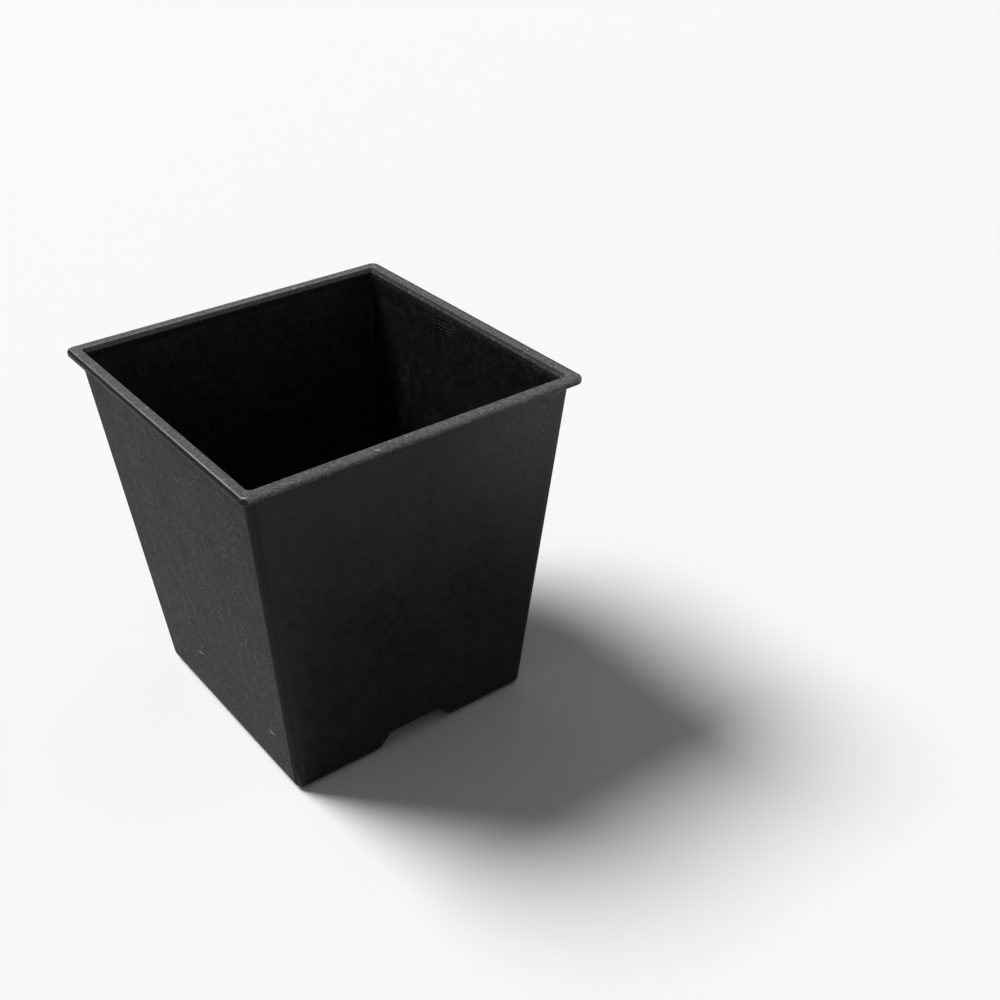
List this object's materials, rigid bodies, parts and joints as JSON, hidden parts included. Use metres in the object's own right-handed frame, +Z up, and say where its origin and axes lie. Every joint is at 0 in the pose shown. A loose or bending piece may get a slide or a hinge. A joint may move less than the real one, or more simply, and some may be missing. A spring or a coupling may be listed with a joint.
{
  "type": "square nursery pot",
  "caption": "Square tapered nursery pot with a flat lipped rim, hollow foot rails, notched drain channel and a raised slotted floor.",
  "frame": {"origin": "middle of the plane that the foot rails stand on", "axes": "+Z up the pot towards the open mouth, X across the plain sides, Y across the notched sides"},
  "size_m": [0.09, 0.09, 0.0932],
  "materials": {
    "black_polypropylene": "matte moulded surface with fine mottling"
  },
  "bodies": {
    "root": {"rim": "black_polypropylene", "wall_front": "black_polypropylene", "wall_right": "black_polypropylene", "wall_back": "black_polypropylene", "wall_left": "black_polypropylene", "drain_floor": "black_polypropylene", "foot_left": "black_polypropylene", "foot_right": "black_polypropylene"}
  },
  "joints": []
}
